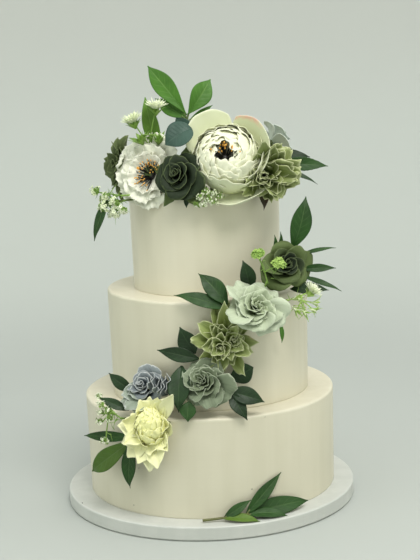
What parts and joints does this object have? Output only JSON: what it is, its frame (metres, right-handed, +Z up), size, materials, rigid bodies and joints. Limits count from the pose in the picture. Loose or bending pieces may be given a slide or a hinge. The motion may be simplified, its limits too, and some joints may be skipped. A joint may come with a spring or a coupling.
{
  "type": "tiered cake",
  "caption": "Tiered round cake in smooth ivory icing on a thick round board, with a cascade of silk flowers, leaves and filler sprays across its front.",
  "frame": {"origin": "centre of the cake drum's underside, on the table", "axes": "+Z up, and the flowered front faces -Y with +X to its right"},
  "size_m": [0.3048, 0.3048, 0.4576],
  "materials": {
    "icing": "satin buttercream, off-white with soft vertical smoothing marks",
    "board": "thin hand-spread white icing over a cake drum",
    "petal_cream": "silk petals, cream with a green tint and a faint blush at the rims",
    "petal_white": "silk petals, warm white and ruffled",
    "petal_yellow": "silk petals, pale yellow",
    "petal_dark_green": "silk petals, slate green with olive rims",
    "petal_olive": "silk petals, olive with light margins",
    "petal_dusty": "silk petals, dusty olive",
    "petal_sage": "silk petals, grey sage with pale rims",
    "petal_pale_sage": "silk petals, pale sage with pale rims",
    "petal_blue": "silk petals, dusty blue with whitish rims",
    "petal_grey": "silk petals, grey sage, seen from behind",
    "leaf_green": "coated silk leaf, mid green",
    "leaf_dark": "coated silk leaf, dark green",
    "leaf_light": "coated silk leaf, fresh green",
    "leaf_teal": "coated silk leaf, grey teal",
    "leaf_brown": "coated silk leaf tip, brown green",
    "filler_white": "small white blossoms on green stems",
    "filler_green": "small yellow-green blossoms on green stems"
  },
  "bodies": {
    "root": {"cake_drum": "board", "tier_bottom": "icing", "tier_middle": "icing", "tier_top": "icing", "rose_green_top": "petal_dark_green", "peony_cream": "petal_cream", "anemone_white": "petal_white", "dahlia_green_top": "petal_olive", "rose_grey": "petal_grey", "dahlia_dusty": "petal_dusty", "lisianthus_pale": "petal_pale_sage", "rose_green_side": "petal_dark_green", "dahlia_green_side": "petal_olive", "rose_sage": "petal_sage", "rose_blue": "petal_blue", "dahlia_cream": "petal_yellow", "leaves_crown": "leaf_light", "leaf_upright": "leaf_light", "leaf_teal": "leaf_teal", "leaf_teal_small": "leaf_teal", "leaf_hanging": "leaf_green", "leaf_top_right_upper": "leaf_dark", "leaf_top_right_broad": "leaf_green", "leaf_top_right_narrow": "leaf_dark", "leaf_tip_rose": "leaf_dark", "leaf_tip_dahlia": "leaf_brown", "leaf_side_tall": "leaf_green", "leaf_side_tuft_left": "leaf_green", "leaf_side_tuft_right": "leaf_green", "leaf_rose_left": "leaf_dark", "leaf_side_thin": "leaf_green", "leaf_side_right_upper": "leaf_green", "leaf_side_right_lower": "leaf_green", "leaf_rose_below": "leaf_dark", "leaf_middle_up": "leaf_green", "leaf_middle_left": "leaf_green", "leaf_hang_small": "leaf_light", "leaf_dahlia_up": "leaf_dark", "leaf_dahlia_left": "leaf_dark", "leaf_dahlia_right": "leaf_dark", "leaves_sage_right": "leaf_dark", "leaf_between": "leaf_dark", "leaf_sage_below": "leaf_green", "leaf_blue_left": "leaf_dark", "leaf_behind_spray": "leaf_dark", "leaves_fan": "leaf_green", "sprig_on_drum": "leaf_green", "filler_buds": "filler_white", "filler_left": "filler_white", "filler_centre": "filler_white", "filler_blooms": "filler_green", "filler_right": "filler_green", "filler_low": "filler_white"}
  },
  "joints": []
}
